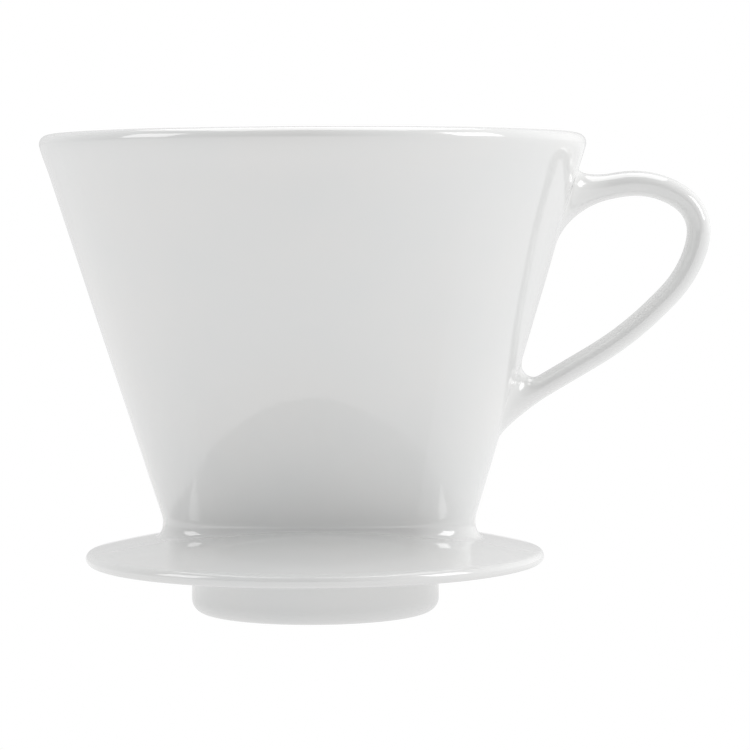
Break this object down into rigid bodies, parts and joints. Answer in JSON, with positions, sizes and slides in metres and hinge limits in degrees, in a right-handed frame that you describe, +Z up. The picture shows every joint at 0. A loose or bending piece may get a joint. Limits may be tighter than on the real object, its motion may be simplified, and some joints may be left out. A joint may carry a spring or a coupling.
{
  "type": "pour over dripper",
  "caption": "Glazed white porcelain pour over coffee dripper: wedge-shaped filter cone on a domed saucer, with a foot ring that drops into a jug's mouth and a loop handle.",
  "frame": {"origin": "on the foot ring's axis, in the plane that the foot stands on", "axes": "+Z up, +X towards the handle, Y across the wedge; the XZ plane is the mirror plane"},
  "size_m": [0.16, 0.13, 0.1139],
  "materials": {
    "glaze": "gloss"
  },
  "bodies": {
    "root": {"filter_cone": "glaze", "flow_ribs_front": "glaze", "flow_ribs_back": "glaze", "cone_joint": "glaze", "saucer": "glaze", "foot_ring": "glaze", "handle": "glaze", "handle_joint_upper": "glaze", "handle_joint_lower": "glaze"}
  },
  "joints": []
}
